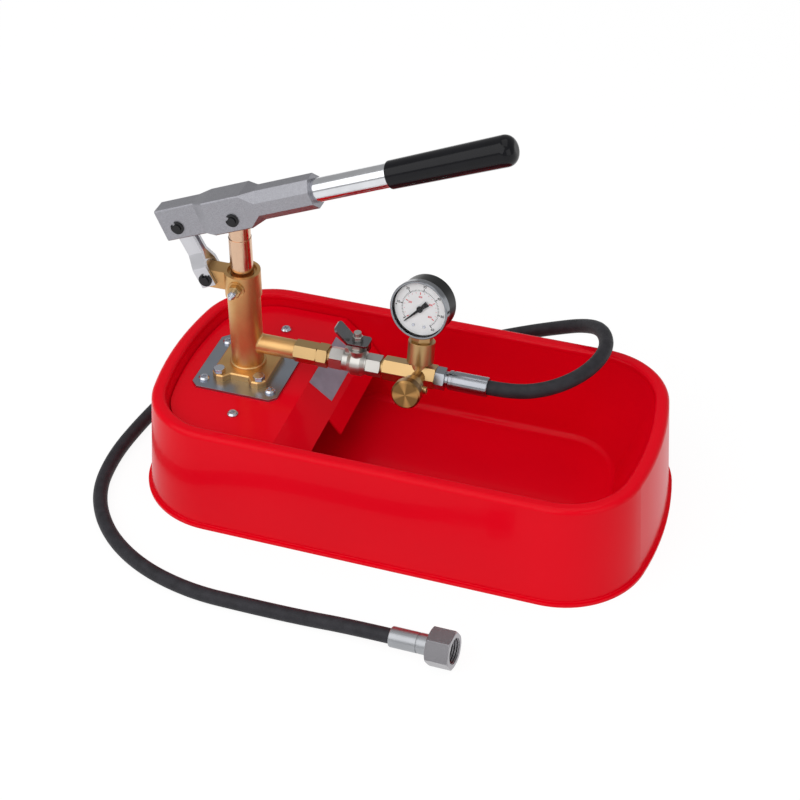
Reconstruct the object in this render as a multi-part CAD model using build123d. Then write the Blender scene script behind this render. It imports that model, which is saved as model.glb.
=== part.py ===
from build123d import *
import os
from math import asin, atan2, cos, degrees, hypot, pi, radians, sin, sqrt, tan

# Hydrostatic test pump: a hand pump on a water tank, with a gauge, a drain valve and a test hose.
# Sizes are in millimetres. The origin is on the floor under the middle of the tank. X runs along
# the tank from the pump end to the open end, Y runs to the back and Z is up.

# General fits
cut_over = 2.0  # how far a cutting tool runs past the face that it cuts
run_gap = 0.05  # radial clearance of a pin or shaft in its bore
seat_gap = 0.1  # clearance round a piece that is fastened in its hole
free_gap = 0.3  # clearance between pieces that move past each other
quarter_turn = 90
half_turn = 180
full_turn = 360
hex_sides = 6
hex_half_step = half_turn / hex_sides  # from a hexagon's corner to the middle of the next flat

# Tank, a double walled drawn shell
tank_length = 381.0
tank_width = 194.4
tank_height = 83.5
tank_corner = 57.5
end_bow = 260.0  # radius of the outward bow of the two short sides
tank_sheet = 1.5
wall_drift = 6.8  # how far the outer wall leans out from the rim to the hem
hem_width = 2.6  # how far the hem round the foot stands out from the wall
hem_height = 3.0
hem_round = 0.7
rim_width = 10.5
rim_bend = 4.5
trough_bend = 3.2
trough_lip = 5.0
trough_side_lean = 10.5
trough_end_lean = 25.0
trough_floor_z = 6.5
trough_floor_corner = 45.0
trough_floor_bend = 6.0

# Deck over the pump end of the tank, with a flap and a baffle
deck_sheet = 1.5
deck_drop = 10.0  # from the rim down to the deck
deck_wall_gap = 1.2
deck_fold_run = 49.5  # from the column
flap_run = 22.0
flap_drop = 17.6
baffle_slope = 52
baffle_drop = 12.0
baffle_side_y = -19.0
deck_screw_run = 9.3  # from the column
deck_screw_inset = 41.6  # from the long sides
deck_post_radius = 5.0
label_width = 22.5
label_length = 60.5
label_y = 28.6
label_thickness = 0.4
label_tilt_share = 0.41  # where the label's middle stands along the flap

# Screws, bolts and nuts
pan_radius = 4.1
pan_height = 2.4
pan_shank = 1.95
pan_recess_width = 1.1
pan_recess_length = 4.6
pan_recess_depth = 1.2
pan_recess_turn = 45
screw_length = 9.0
plate_nut_across = 7.0
plate_nut_height = 3.2
bolt_across = 8.0
bolt_head = 3.5
bolt_shank = 2.45
bolt_end = 1.5  # how far the bolt stands out of its nut
bolt_turn = 15
bolt_nut_height = 4.0

# Mounting plate and brass foot
column_inset = 61.0  # from the pump end of the tank
plate_length = 68.5
plate_width = 68.0
plate_thickness = 2.0
plate_corner = 5.0
plate_hole_pitch_x = 53.5
plate_hole_pitch_y = 48.2
foot_length = 43.5
foot_width = 48.0
foot_thickness = 5.5
foot_corner = 5.0
foot_corner_round = 1.2
foot_edge_cut = 0.9
notch_depth = 5.2
notch_floor = 14.5
notch_mouth = 23.0
foot_bolt_pitch_x = 32.0
foot_bolt_pitch_y = 37.5

# Pump cylinder and its outlet arm
cylinder_radius = 12.3
cylinder_rise = 70.5  # from the deck to the top of the cylinder
cylinder_bore = 8.8
bore_rise = 14.5  # from the deck to the floor of the bore
base_bead = 13.8
base_bead_height = 3.0
spigot_radius = 9.0
spigot_depth = 7.0  # below the underside of the deck
port_radius = 3.0
outlet_rise = 27.0  # from the deck to the axis of the outlet
arm_radius = 7.5
arm_run = 39.6
arm_fillet = 1.6

# Suction side, below the deck
suction_body_across = 22.0
suction_body_height = 17.0
suction_chamber_radius = 6.0
suction_chamber_height = 11.0
suction_ball_radius = 4.5
suction_tube_radius = 5.0
suction_tube_wall = 1.0
strainer_radius = 10.0
strainer_height = 20.0
strainer_wall = 1.2
strainer_floor_gap = 2.0
strainer_slots = 8
strainer_slot_width = 2.4
spring_wire = 0.5
spring_turns = 4

# Cylinder head with its lug, gland seal and grease fitting
head_radius = 13.6
head_height = 21.0
head_recess_radius = 11.0
head_recess_depth = 2.5
gland_radius = 11.5
gland_height = 5.0
lug_pin_reach = 25.9
lug_pin_rise = 12.3
lug_half_width = 6.5
lug_round = 7.6
lug_root_low = 5.0  # over the top of the cylinder, as the next three are
lug_root_high = 20.0
grease_rise = 12.0
grease_boss_radius = 6.4
grease_boss_y = -14.4
grease_hex_across = 8.6
grease_hex_height = 3.6
grease_stem_radius = 2.6
grease_stem_height = 3.2
grease_tip_radius = 3.0
grease_tip_height = 4.6
grease_hole_radius = 0.8
grease_shoulder_share = 0.33
grease_waist_share = 0.7
grease_turn = 10

# Piston
piston_radius = 8.5
piston_neck_radius = 8.1
piston_depth = 30.0
piston_ring_rise = 50.0
piston_top_chamfer = 2.5
piston_pin_rise = 70.5
eye_room_left = 1.9  # how far the pin runs to the left in the piston's eye
eye_room_right = 0.3
eye_room_height = 0.85

# Lever, drawn in its own frame: u runs along the handle and v square to it, from the piston pin
lever_tilt = 22.5
link_pin_u = -48.7
link_pin_v = 1.2
pin_radius = 3.0
pin_stand_out = 1.9
clip_radius = 5.0
clip_thickness = 1.0
clip_inner = 2.4
clip_mouth = 4.0
clip_set_back = 0.1
link_clip_turn = 120
lever_clip_turn = 150
head_wall = 3.0
thin_fork_ease = 0.2  # how much thinner the walls of the thin fork are
thick_fork_start = 1.0
thin_half = 7.5
thick_half = 11.4
thin_end_u = -61.5
ramp_start_u = -28.0
ramp_end_u = -19.0
thick_end_u = 12.8
socket_start_u = 22.5
socket_end_u = 67.0
thin_low_v = -8.2
thin_high_v = 17.2
thick_low_v = -9.5
thick_high_v = 17.5
edge_cut = 0.9
slot_end_u = 14.0
axis_v = 4.2
socket_half = 11.7
socket_sides = 8
tube_radius = 8.6
tube_wall = 2.3
tube_start_u = 26.0
tube_end_u = 212.0
grip_start_u = 126.0
grip_end_u = 221.0
grip_start_radius = 10.0
grip_end_radius = 11.0
grip_tip_round = 8.0
grip_lip_round = 1.2

# Link, two joggled straps
strap_thickness = 2.5
strap_width = 12.0
strap_end = 6.0
strap_upper_y = 1.9
strap_lug_gap = 0.3
joggle_start = 25.6
joggle_end = 36.0
spacer_radius = 5.2

# Outlet run: adapter, union, ball valve
adapter_across = 15.0
adapter_length = 18.2
union_across = 16.0
union_length = 10.2
hex_edge_cut = 0.8
pipe_hex_cut = 1.1
pipe_neck_length = 1.9  # the round neck between two hexagons of the run
pipe_neck_radius = 6.2
delivery_chamber_radius = 4.6
delivery_chamber_length = 14.0
delivery_ball_radius = 3.9
valve_left_across = 15.5
valve_left_length = 10.2
valve_body_radius = 8.2
valve_body_length = 18.3
valve_barrel_radius = 10.1
valve_barrel_half = 3.6
valve_shoulder = 3.2
valve_right_across = 15.0
valve_right_length = 11.3
stem_run = 10.8  # from the end of the left hexagon
stem_boss_radius = 7.4
stem_boss_foot_radius = 5.0
stem_boss_rise = 13.5
packing_across = 9.5
packing_height = 3.6
stem_radius = 2.8
stem_rise = 27.5
ball_radius = 6.2
stop_lug_run = 3.3
stop_lug_width = 4.0
stop_lug_rise = 12.5
wing_rise = 19.5
wing_thickness = 1.8
wing_width = 13.0
wing_hub_right = 9.5
wing_hub_left = 6.5
wing_tip_run = 10.3
wing_tip_rise = 11.6
wing_round = 3.0
stop_tab_width = 5.0
stop_tab_drop = 5.0
lever_nut_across = 7.0
lever_nut_height = 4.0
lever_nut_turn = 20

# Tee block, turned back about the outlet axis
tee_lean = 13.7
tee_across = 16.0
tee_length = 42.0
gauge_run = 28.7  # from the left end of the tee block
gauge_foot_radius = 6.8
gauge_boss_radius = 10.0
gauge_boss_start = 10.5
gauge_boss_end = 27.0
gauge_stem_across = 14.0
gauge_neck_radius = 5.0
drain_offset = 1.45
drain_neck_radius = 5.6
drain_boss_radius = 8.3
drain_boss_start = 20.5
drain_boss_end = 30.6
drain_rim_cut = 0.9
drain_bore = 4.0
spout_k = 25.6
spout_radius = 2.8
spout_reach = 12.0
spout_bore = 1.6
drain_gap = 0.4
drain_socket = 5.0  # how far the spindle goes into the knob
drain_disc_radius = 10.9
drain_disc_end = 40.0
drain_disc_cut = 1.3
drain_spindle_radius = 2.6
drain_seat_k = 4.5
drain_tip_length = 3.0

# Gauge, drawn about its own face
gauge_stem_length = 5.6
gauge_yaw = 5.8
gauge_front = 12.5
gauge_depth = 20.5
case_radius = 21.5
case_wall = 1.2
bezel_wall = 0.8
bezel_face = 1.6  # width of the ring that shows round the lens
bezel_lip = 0.9
bezel_cover = 5.5
lens_thickness = 1.0
dial_gap = 0.2
dial_thickness = 0.8
needle_hub_radius = 2.4
needle_lift = 0.8
needle_thickness = 0.5
needle_share = 0.8
needle_tail_share = 0.38
needle_root_width = 2.2
needle_tip_width = 0.7
needle_tail_width = 4.2
needle_zero = 225
spindle_radius = 0.8
movement_radius = 6.5
movement_depth = 5.0
dial_screw_radius = 1.1
dial_screw_x_share = 0.21
dial_screw_drop_share = 0.65
dial_screw_height = 0.7

# Hose ends
nipple_across = 15.0
nipple_hex_length = 7.4
nipple_collar_length = 2.5
nipple_collar_radius = 6.0
nipple_barb_radius = 3.4
nipple_barb_end = 3.0  # how far short of the ferrule's end the barb stops
ferrule_radius = 7.4
ferrule_length = 29.8
ferrule_round = 0.8
groove_depth = 0.5
groove_width = 1.2
near_groove_share = 0.12
far_groove_share = 0.74
far_ferrule_length = 28.5
tail_gap = 1.0
tail_radius = 5.6
tail_bore = 2.6
tail_flange_radius = 8.9
tail_flange_width = 2.6
union_nut_across = 24.5
union_nut_length = 17.5
union_nut_bore = 9.3
thread_relief = 10.0
union_nut_back = 3.5
union_nut_chamfer = 1.6
washer_width = 1.8
washer_bore = 5.0

# Hose. Its points are given as a run along X, a share of half the tank's width along Y, and a
# height as a share of the way from the floor up to the outlet.
hose_radius = 5.5
hose_fillet_share = 0.45
hose_loop = [  # the run along X is counted from the end of the near ferrule, in millimetres
    (0, 0, 1), (20, 0, 1), (42.5, 0.087, 1.021), (60.5, 0.267, 1.042), (71, 0.499, 1.058),
    (72.5, 0.746, 1.047), (63, 0.988, 1.005), (45.5, 1.168, 0.874), (21.5, 1.26, 0.721),
]
hose_lay = [  # the run along X is a share of half the tank's length
    (0.294, 1.322, 0.574), (0.136, 1.353, 0.411), (-0.037, 1.399, 0.253), (-0.236, 1.451, 0.1),
    (-0.462, 1.461, 0), (-0.698, 1.389, 0), (-0.908, 1.173, 0), (-1.05, 0.813, 0), (-1.121, 0.36, 0),
    (-1.163, -0.113, 0), (-1.181, -0.576, 0), (-1.144, -1.019, 0), (-1.01, -1.399, 0),
    (-0.814, -1.662, 0), (-0.577, -1.795, 0), (-0.341, -1.8, 0), (-0.126, -1.795, 0),
]
hose_end_x_share = 0.225
hose_end_y_share = -1.811
hose_last_run = 32.0
fitting_yaw = -5.0  # how the far fitting lies, turned to the front and with its back end down
fitting_pitch = 5.4

# Places that follow from the sizes above
deck_z = tank_height - deck_drop
deck_under = deck_z - deck_sheet
column_x = column_inset - tank_length / 2
deck_fold_x = column_x + deck_fold_run
deck_screw_x = column_x + deck_screw_run
deck_screw_y = tank_width / 2 - deck_screw_inset
plate_top = deck_z + plate_thickness
foot_top = plate_top + foot_thickness
bore_floor = deck_z + bore_rise
outlet_z = deck_z + outlet_rise
cylinder_top = deck_z + cylinder_rise
head_top = cylinder_top + head_height
grease_z = cylinder_top + grease_rise
suction_top = deck_under - spigot_depth
suction_bottom = suction_top - suction_body_height
lug_pin_x = column_x - lug_pin_reach
lug_pin_z = cylinder_top + lug_pin_rise
lug_strap_y = lug_half_width + strap_lug_gap
piston_ring_z = cylinder_top + piston_ring_rise
piston_pin_z = cylinder_top + piston_pin_rise
arm_end_x = column_x + arm_run
adapter_end_x = arm_end_x + adapter_length
union_end_x = adapter_end_x + union_length
valve_left_end_x = union_end_x + valve_left_length
valve_body_end_x = valve_left_end_x + valve_body_length
valve_end_x = valve_body_end_x + valve_right_length
stem_x = valve_left_end_x + stem_run
stem_boss_top = outlet_z + stem_boss_rise
packing_top = stem_boss_top + packing_height
stem_top = outlet_z + stem_rise
wing_z = outlet_z + wing_rise
tee_end_x = valve_end_x + tee_length
gauge_x = valve_end_x + gauge_run
drain_x = gauge_x + drain_offset
nipple_hex_end_x = tee_end_x + nipple_hex_length
ferrule_start_x = nipple_hex_end_x + nipple_collar_length
ferrule_end_x = ferrule_start_x + ferrule_length
drain_disc_start = drain_boss_end + drain_gap
gauge_radius = case_radius + bezel_wall
gauge_stem_end = gauge_boss_end + gauge_stem_length
gauge_back = gauge_front - gauge_depth
lens_back = gauge_front - bezel_lip - lens_thickness
needle_top = needle_lift + needle_thickness + needle_thickness / 2
dial_face = lens_back - free_gap - needle_top
dial_rear = dial_face - dial_thickness
dial_radius = case_radius - case_wall - dial_gap
dial_screw_x = dial_radius * dial_screw_x_share
dial_screw_drop = dial_radius * dial_screw_drop_share
gauge_centre = gauge_stem_end + seat_gap + gauge_radius
nut_start = far_ferrule_length + tail_gap
nut_flange = nut_start + union_nut_back


def sized(base, direction, x_direction=(1, 0, 0)):
    """A place with its own Z along a direction."""
    return Plane(origin=base, x_dir=x_direction, z_dir=direction).location


column = sized((column_x, 0, 0), (0, 0, 1))
outlet = sized((0, 0, outlet_z), (1, 0, 0), (0, 1, 0))
lever_along = (cos(radians(lever_tilt)), 0, sin(radians(lever_tilt)))
lever_place = sized((column_x, 0, piston_pin_z), (0, -1, 0), lever_along)
lean_up = (0, sin(radians(tee_lean)), cos(radians(tee_lean)))
lean_front = (0, -cos(radians(tee_lean)), sin(radians(tee_lean)))
gauge_leg = sized((gauge_x, 0, outlet_z), lean_up)
drain_leg = sized((drain_x, 0, outlet_z), lean_front)
gauge_middle = gauge_leg * Pos(0, 0, gauge_centre)
gauge_face = gauge_middle * Rot(0, 0, -gauge_yaw) * Rot(quarter_turn, 0, 0)

link_pin_place = lever_place * Pos(link_pin_u, link_pin_v, 0)
link_pin_x = link_pin_place.position.X
link_pin_z = link_pin_place.position.Z
link_length = hypot(link_pin_x - lug_pin_x, link_pin_z - lug_pin_z)
link_down = ((lug_pin_x - link_pin_x) / link_length, 0, (lug_pin_z - link_pin_z) / link_length)
link_place = sized((link_pin_x, 0, link_pin_z), (0, 1, 0), link_down)

level = cos(radians(fitting_pitch))
rise = sin(radians(fitting_pitch))
ahead = cos(radians(fitting_yaw))
aside = sin(radians(fitting_yaw))
far_axis = (level * ahead, level * aside, rise)
far_up = (-rise * ahead, -rise * aside, level)
far_end = (
    hose_end_x_share * tank_length / 2,
    hose_end_y_share * tank_width / 2,
    union_nut_across / 2 * level - nut_start * rise + seat_gap,
)
far_place = sized(far_end, far_axis, far_up)
far_back = sized(far_end, tuple(-a for a in far_axis), far_up)


def rod(place, radius, start, end):
    """A round bar along the place's Z."""
    low = (Align.CENTER, Align.CENTER, Align.MIN)
    return place * Pos(0, 0, start) * Cylinder(radius, end - start, align=low)


def taper(place, start_radius, end_radius, start, end):
    """A cone along the place's Z."""
    low = (Align.CENTER, Align.CENTER, Align.MIN)
    return place * Pos(0, 0, start) * Cone(start_radius, end_radius, end - start, align=low)


def tube(place, outer, inner, start, end):
    """A round tube along the place's Z."""
    return rod(place, outer, start, end) - rod(place, inner, start - cut_over, end + cut_over)


def block(place, low, high):
    """A box between two corners of the place."""
    size = [h - l for l, h in zip(low, high)]
    return place * Pos(*low) * Box(*size, align=(Align.MIN, Align.MIN, Align.MIN))


def hexagon(place, across, start, end, turn=0, cut=hex_edge_cut):
    """A hexagon bar along the place's Z with its end corners turned off."""
    flat = across / 2
    outline = Rot(0, 0, turn) * RegularPolygon(flat, hex_sides, major_radius=False)
    bar = place * Pos(0, 0, start) * extrude(outline, end - start)
    corner = flat / cos(radians(hex_half_step))
    waist = corner - cut
    rise = cut / 2
    turned = rod(place, corner, start + rise, end - rise)
    turned += taper(place, waist, corner, start, start + rise)
    turned += taper(place, corner, waist, end - rise, end)
    return bar & turned


def prism(place, points, low, high):
    """A flat outline pulled along the place's Z between two heights."""
    outline = make_face(Polyline(*points, close=True))
    return place * Pos(0, 0, low) * extrude(outline, high - low)


def save(name, shape):
    """Writes one piece, or several like pieces, to its own file."""
    export_step(shape, f"parts/{name}.step")


def pan_screw(place, head_z, length):
    """A pan head screw with a cross recess; its head sits on head_z."""
    dome = pan_height / 2
    head = rod(place, pan_radius, head_z, head_z + dome)
    head += taper(place, pan_radius, pan_radius - dome, head_z + dome, head_z + pan_height)
    head += rod(place, pan_shank, head_z - length, head_z)
    top = head_z + pan_height
    reach = pan_recess_length / 2
    half = pan_recess_width / 2
    for turn in (pan_recess_turn, pan_recess_turn + quarter_turn):
        cross = place * Rot(0, 0, turn)
        head -= block(cross, (-reach, -half, top - pan_recess_depth), (reach, half, top + cut_over))
    return head


def corners(pitch_x, pitch_y):
    """The four corners of a hole pattern about the column."""
    return [(x * pitch_x / 2, y * pitch_y / 2) for x in (-1, 1) for y in (-1, 1)]


def drilled(shape, spots, radius, low, high):
    """A shape with a through hole at each spot about the column."""
    for x, y in spots:
        shape -= rod(column * Pos(x, y, 0), radius, low - cut_over, high + cut_over)
    return shape


plate_spots = corners(plate_hole_pitch_x, plate_hole_pitch_y)
bolt_spots = corners(foot_bolt_pitch_x, foot_bolt_pitch_y)
deck_screw_spots = [(deck_screw_x - column_x, -deck_screw_y), (deck_screw_x - column_x, deck_screw_y)]


def bow_centre(half_length):
    """Where the axis of the bowed short side stands along X."""
    return half_length - end_bow


def bow_swing():
    """Half the angle of the bow, up to where the corner's arc takes over."""
    return asin((tank_width / 2 - tank_corner) / (end_bow - tank_corner))


def corner_x(half_length):
    """Where the axis of a corner's arc stands along X."""
    return bow_centre(half_length) + (end_bow - tank_corner) * cos(bow_swing())


def skirt_section():
    """Section of the sheet from the hem up the wall, over the rim and down into the trough."""
    wall_foot = wall_drift - tank_sheet
    lip_z = tank_height - trough_lip
    under_rim = tank_height - tank_sheet
    hem = wall_drift + hem_width
    inner_lip = tank_sheet - rim_width
    outline = [
        (hem, 0), (hem, hem_height), (wall_drift, hem_height), (0, tank_height),
        (-rim_width, tank_height), (-rim_width, lip_z), (inner_lip, lip_z), (inner_lip, under_rim),
        (-tank_sheet, under_rim), (wall_foot, 0),
    ]
    section = make_face(Polyline(*outline, close=True))
    bends = [
        ((0, tank_height), rim_bend), ((-tank_sheet, under_rim), rim_bend - tank_sheet),
        ((-rim_width, tank_height), trough_bend), ((inner_lip, under_rim), trough_bend - tank_sheet),
        ((hem, 0), hem_round), ((hem, hem_height), hem_round), ((wall_drift, hem_height), hem_round),
    ]
    for (x, z), radius in bends:
        spot = [v for v in section.vertices() if hypot(v.X - x, v.Y - z) < seat_gap]
        section = fillet(spot, radius)
    return section


def tank_skirt():
    """Outer wall with its hem, the rim and the lip that turns down into the trough."""
    half_length = tank_length / 2
    half_width = tank_width / 2
    section = Rot(quarter_turn, 0, 0) * skirt_section()
    straight_x = corner_x(half_length)
    straight_y = half_width - tank_corner
    swing = degrees(bow_swing())
    bow_axis = Axis((bow_centre(half_length), 0, 0), (0, 0, 1))
    end_wall = revolve(Pos(half_length, 0, 0) * section, bow_axis, swing)
    side_place = Pos(straight_x, half_width, 0) * Rot(0, 0, quarter_turn)
    side_wall = extrude(side_place * section, straight_x, dir=(-1, 0, 0))
    bend_axis = Axis((straight_x, straight_y, 0), (0, 0, 1))
    bend_place = Pos(straight_x, straight_y, 0) * Rot(0, 0, swing) * Pos(tank_corner, 0, 0)
    bend = revolve(bend_place * section, bend_axis, quarter_turn - swing)
    quarter = end_wall + side_wall + bend
    half = quarter + mirror(quarter, Plane.XZ)
    return half + mirror(half, Plane.YZ)


def bowed_slab(inset, end_draw, side_draw, corner, z):
    """The trough's outline at a height: drawn in from the tank's ends and sides, ends bowed."""
    half_length = tank_length / 2 - inset - end_draw
    half_width = tank_width / 2 - inset - side_draw
    bow = end_bow - inset - end_draw
    swing = asin((half_width - corner) / (bow - corner))
    middle = half_length - bow
    turn_x = middle + (bow - corner) * cos(swing)
    turn_y = half_width - corner
    join = (middle + bow * cos(swing), bow * sin(swing))
    halfway = (swing + pi / 2) / 2
    shoulder = (turn_x + corner * cos(halfway), turn_y + corner * sin(halfway))

    def flip(point, x_sign, y_sign):
        return (x_sign * point[0], y_sign * point[1])

    edges = [Line((-turn_x, half_width), (turn_x, half_width))]
    edges.append(ThreePointArc((turn_x, half_width), shoulder, join))
    edges.append(ThreePointArc(join, (half_length, 0), flip(join, 1, -1)))
    edges.append(ThreePointArc(flip(join, 1, -1), flip(shoulder, 1, -1), (turn_x, -half_width)))
    edges.append(Line((turn_x, -half_width), (-turn_x, -half_width)))
    edges.append(ThreePointArc((-turn_x, -half_width), flip(shoulder, -1, -1), flip(join, -1, -1)))
    edges.append(ThreePointArc(flip(join, -1, -1), (-half_length, 0), flip(join, -1, 1)))
    edges.append(ThreePointArc(flip(join, -1, 1), flip(shoulder, -1, 1), (-turn_x, half_width)))
    return Pos(0, 0, z) * make_face(edges)


def trough_void(inset, floor_z, bend):
    """The room inside the trough, drawn in by an inset, with a rounded floor edge."""
    inward = rim_width + inset
    top = bowed_slab(inward, 0, 0, tank_corner - inward, tank_height - trough_lip)
    low = bowed_slab(inward, trough_end_lean, trough_side_lean, trough_floor_corner - inset, floor_z)
    room = loft([low, top], ruled=True)
    return fillet(room.edges().group_by(Axis.Z)[0], bend)


def tank_trough():
    """Inner tub, from the lip of the rim down to its floor."""
    shell = trough_void(-tank_sheet, trough_floor_z - tank_sheet, trough_floor_bend + tank_sheet)
    return shell - trough_void(0, trough_floor_z, trough_floor_bend)


def deck_line(with_baffle):
    """Outline of the deck sheet seen from the front, extended past the pump end of the tank."""
    crease = (deck_fold_x + flap_run, deck_z - flap_drop)
    points = [(-tank_length / 2, deck_z), (deck_fold_x, deck_z), crease]
    if with_baffle:
        points.append((crease[0] + baffle_drop / tan(radians(baffle_slope)), crease[1] - baffle_drop))
    return make_face(offset(Polyline(*points), deck_sheet, side=Side.RIGHT, kind=Kind.INTERSECTION))


def pump_deck():
    """Sheet deck with a flap that slopes down and, behind the open front third, a baffle."""
    upright = Rot(quarter_turn, 0, 0)
    half_width = tank_width / 2
    flap = extrude(Pos(0, half_width, 0) * upright * deck_line(False), tank_width, dir=(0, -1, 0))
    depth = half_width - baffle_side_y
    baffle = extrude(Pos(0, half_width, 0) * upright * deck_line(True), depth, dir=(0, -1, 0))
    deck = (flap + baffle) & trough_void(deck_wall_gap, trough_floor_z, trough_floor_bend)
    deck = drilled(deck, plate_spots + deck_screw_spots, pan_shank + seat_gap, deck_under, deck_z)
    deck = drilled(deck, bolt_spots, bolt_shank + seat_gap, deck_under, deck_z)
    return drilled(deck, [(0, 0)], spigot_radius + seat_gap, deck_under, deck_z)


def deck_posts():
    """Two posts on the trough's floor that carry the deck at its screws."""
    posts = []
    for x, y in deck_screw_spots:
        spot = column * Pos(x, y, 0)
        post = rod(spot, deck_post_radius, trough_floor_z, deck_under)
        low = deck_z - screw_length - cut_over
        posts.append(post - rod(spot, pan_shank + seat_gap, low, deck_under + cut_over))
    return Compound(children=posts)


def deck_screws():
    screws = [pan_screw(column * Pos(x, y, 0), deck_z, screw_length) for x, y in deck_screw_spots]
    return Compound(children=screws)


def rating_label():
    """Plain label on the flap."""
    slope = degrees(atan2(flap_drop, flap_run))
    length = hypot(flap_run, flap_drop)
    middle = Pos(deck_fold_x, label_y, deck_z) * Rot(0, slope, 0) * Pos(length * label_tilt_share, 0, 0)
    half_across = label_width / 2
    half_along = label_length / 2
    return block(middle, (-half_across, -half_along, 0), (half_across, half_along, label_thickness))


def mounting_plate():
    """Zinc plated square with cut corners under the brass foot."""
    plate = Pos(0, 0, deck_z) * extrude(Rectangle(plate_length, plate_width), plate_thickness)
    plate = column * chamfer(plate.edges().filter_by(Axis.Z), plate_corner)
    plate = drilled(plate, plate_spots, pan_shank + seat_gap, deck_z, plate_top)
    plate = drilled(plate, bolt_spots, bolt_shank + seat_gap, deck_z, plate_top)
    return drilled(plate, [(0, 0)], spigot_radius + seat_gap, deck_z, plate_top)


def plate_screws():
    length = plate_thickness + deck_sheet + plate_nut_height + bolt_end
    return Compound(children=[pan_screw(column * Pos(x, y, 0), plate_top, length) for x, y in plate_spots])


def plate_nuts():
    nuts = []
    for x, y in plate_spots:
        spot = column * Pos(x, y, 0)
        nut = hexagon(spot, plate_nut_across, deck_under - plate_nut_height, deck_under)
        nuts.append(nut - rod(spot, pan_shank + seat_gap, 0, deck_z))
    return nuts


def pump_foot():
    """Brass flange with faceted ears and a notch in its front and back edges."""
    half_length = foot_length / 2
    half_width = foot_width / 2
    quarter = [
        (notch_floor / 2, half_width - notch_depth), (notch_mouth / 2, half_width),
        (half_length - foot_corner, half_width), (half_length, half_width - foot_corner),
    ]
    outline = quarter + [(x, -y) for x, y in reversed(quarter)]
    outline += [(-x, -y) for x, y in quarter] + [(-x, y) for x, y in reversed(quarter)]
    foot = prism(Pos(0, 0, 0), outline, plate_top, foot_top)
    foot = fillet(foot.edges().filter_by(Axis.Z), foot_corner_round)
    foot = chamfer(foot.edges().group_by(Axis.Z)[-1], foot_edge_cut)
    foot = drilled(column * foot, bolt_spots, bolt_shank + seat_gap, plate_top, foot_top)
    return drilled(foot, [(0, 0)], spigot_radius + seat_gap, plate_top, foot_top)


def foot_bolts():
    bolts = []
    low = deck_under - bolt_nut_height - bolt_end
    for x, y in bolt_spots:
        spot = column * Pos(x, y, 0)
        head = hexagon(spot, bolt_across, foot_top, foot_top + bolt_head, bolt_turn)
        bolts.append(head + rod(spot, bolt_shank, low, foot_top))
    return Compound(children=bolts)


def foot_nuts():
    nuts = []
    for x, y in bolt_spots:
        spot = column * Pos(x, y, 0)
        nut = hexagon(spot, bolt_across, deck_under - bolt_nut_height, deck_under)
        nuts.append(nut - rod(spot, bolt_shank + seat_gap, 0, deck_z))
    return nuts


def pump_cylinder():
    """Brass column with a base bead, a spigot through the deck and the outlet arm."""
    body = rod(column, cylinder_radius, foot_top, cylinder_top)
    arm = rod(outlet, arm_radius, column_x, arm_end_x)
    body = body + arm
    seam = [e for e in body.edges() if e.center().X > column_x and abs(e.center().Z - outlet_z) < arm_radius]
    seam = [e for e in seam if e.center().X < column_x + cylinder_radius + cut_over]
    body = fillet(seam, arm_fillet)
    bead = rod(column, base_bead, foot_top, foot_top + base_bead_height)
    body += fillet(bead.edges().group_by(Axis.Z)[-1], base_bead - cylinder_radius - seat_gap)
    body += rod(column, spigot_radius, suction_top, foot_top)
    body -= rod(column, cylinder_bore, bore_floor, cylinder_top + cut_over)
    body -= rod(column, port_radius, suction_top - cut_over, cylinder_top)
    return body - rod(outlet, port_radius, column_x, arm_end_x + cut_over)


def helix_spring(place, radius, start, end):
    """A small coil spring along the place's Z."""
    pitch = (end - start - 2 * spring_wire) / spring_turns
    path = Helix(pitch, pitch * spring_turns, radius)
    profile = Plane(origin=path @ 0, z_dir=path % 0) * Circle(spring_wire)
    return place * Pos(0, 0, start + spring_wire) * sweep(profile, path=path, is_frenet=True)


def suction_valve():
    """Hexagon body under the pump with a ball chamber; the suction tube enters from below."""
    body = hexagon(column, suction_body_across, suction_bottom, suction_top)
    chamber_low = suction_top - suction_chamber_height
    body -= rod(column, suction_chamber_radius, chamber_low, suction_top + cut_over)
    return body - rod(column, suction_tube_radius - suction_tube_wall, 0, chamber_low + cut_over)


def suction_ball():
    chamber_low = suction_top - suction_chamber_height
    throat = suction_tube_radius - suction_tube_wall
    rise = sqrt(suction_ball_radius ** 2 - throat ** 2)
    return column * Pos(0, 0, chamber_low + rise + seat_gap) * Sphere(suction_ball_radius)


def suction_spring():
    chamber_low = suction_top - suction_chamber_height
    throat = suction_tube_radius - suction_tube_wall
    rise = sqrt(suction_ball_radius ** 2 - throat ** 2)
    radius = port_radius + spring_wire
    start = chamber_low + rise + sqrt(suction_ball_radius ** 2 - port_radius ** 2) + free_gap
    return helix_spring(column, radius, start, suction_top - seat_gap)


def suction_tube():
    low = trough_floor_z + strainer_floor_gap + strainer_height
    return tube(column, suction_tube_radius, suction_tube_radius - suction_tube_wall, low, suction_bottom)


def suction_strainer():
    """Slotted cup at the foot of the suction tube."""
    low = trough_floor_z + strainer_floor_gap
    high = low + strainer_height
    cup = rod(column, strainer_radius, low, high)
    cup -= rod(column, strainer_radius - strainer_wall, low + strainer_wall, high - strainer_wall)
    cup -= rod(column, suction_tube_radius - suction_tube_wall, high - 2 * strainer_wall, high + cut_over)
    slot_low = low + 2 * strainer_wall
    slot_high = high - 2 * strainer_wall
    for step in range(strainer_slots // 2):
        side = column * Rot(0, 0, step * full_turn / strainer_slots)
        reach = strainer_radius + cut_over
        half = strainer_slot_width / 2
        cup -= block(side, (-reach, -half, slot_low), (reach, half, slot_high))
    return cup


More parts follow.
